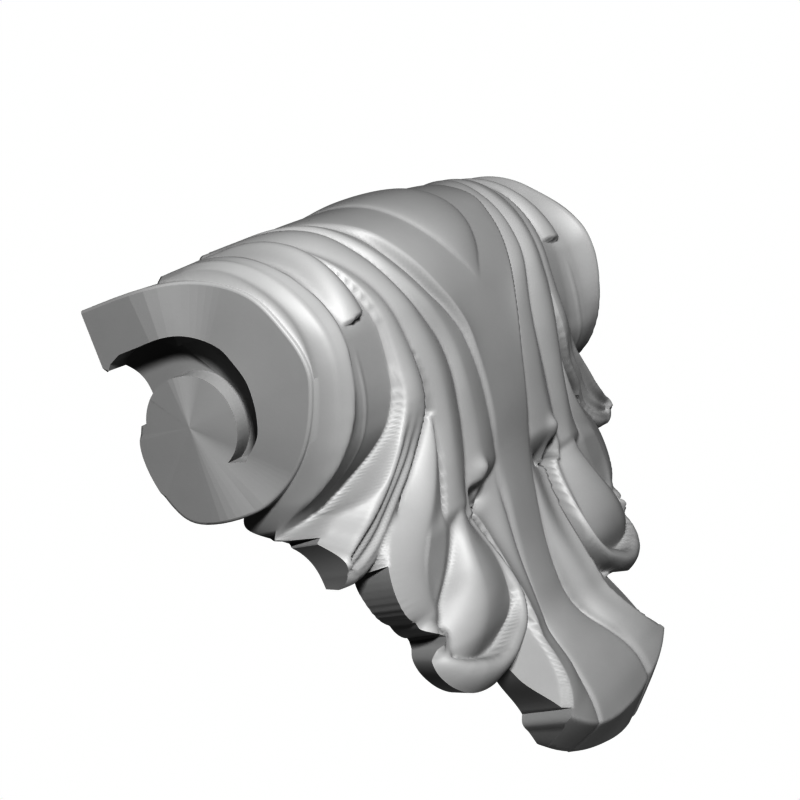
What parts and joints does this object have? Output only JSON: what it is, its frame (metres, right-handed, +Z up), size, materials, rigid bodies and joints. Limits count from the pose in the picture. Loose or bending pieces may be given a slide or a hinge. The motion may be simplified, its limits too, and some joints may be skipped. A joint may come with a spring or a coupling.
{
  "type": "carved bracket",
  "caption": "Carved scroll corbel with an acanthus leaf folding over its front, cut off flat at the back to fix to a wall.",
  "frame": {"origin": "centre of the flat face that meets the wall", "axes": "+X along the front to the viewer's right, +Y into the wall, +Z up"},
  "size_m": [0.2764, 0.1044, 0.2709],
  "materials": {
    "stone": "matt, fine tooling left on the ribs"
  },
  "bodies": {
    "root": {"carved_bracket": "stone"}
  },
  "joints": []
}
